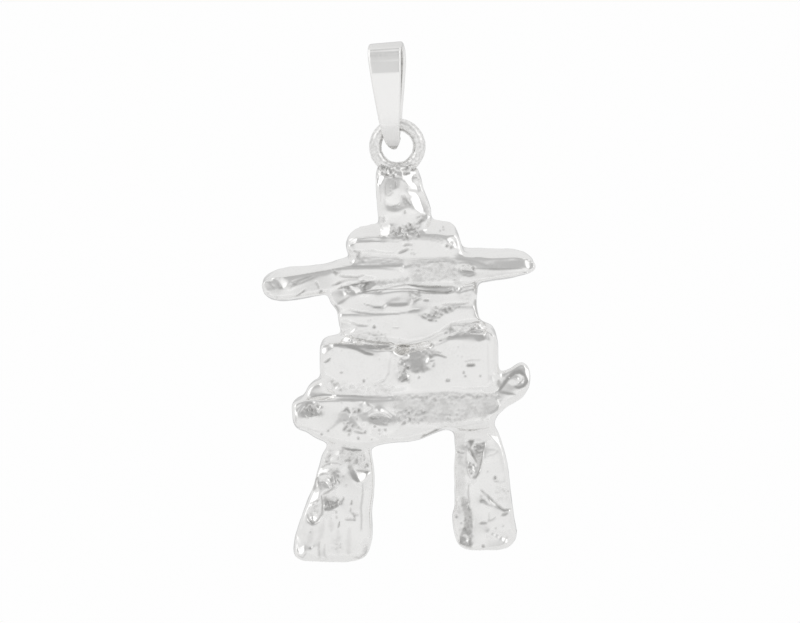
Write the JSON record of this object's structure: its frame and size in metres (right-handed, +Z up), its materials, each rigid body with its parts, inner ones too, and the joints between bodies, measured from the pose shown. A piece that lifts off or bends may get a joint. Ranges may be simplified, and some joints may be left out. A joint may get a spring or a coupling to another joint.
{
  "type": "inukshuk pendant",
  "caption": "Polished cast silver pendant in the form of a stacked stone figure with outstretched arms, a soldered ring on its head and a folded strap bail for a chain.",
  "frame": {"origin": "the top of the inside of the bail, in the middle of its width, where a chain bears", "axes": "+Z up when the pendant hangs, +X to the right as seen from the front, the front of the figure faces -Y"},
  "size_m": [0.0248, 0.0045, 0.0468],
  "materials": {
    "cast_silver": "polished cast silver, lightly uneven, darker in its pits and creases",
    "ring_silver": "polished silver wire, frosted near the solder",
    "bail_silver": "silver strip with soft brushing along its length"
  },
  "bodies": {
    "bail": {"bail": "bail_silver"},
    "pendant": {"figure": "cast_silver", "ring": "ring_silver"}
  },
  "joints": [
    {"name": "swing", "type": "hinge", "parent": "bail", "child": "pendant", "pos_m": [0.00054, 0, -0.00692], "axis": [0.9744, 0, 0.225], "range_deg": [-120, 120]}
  ]
}
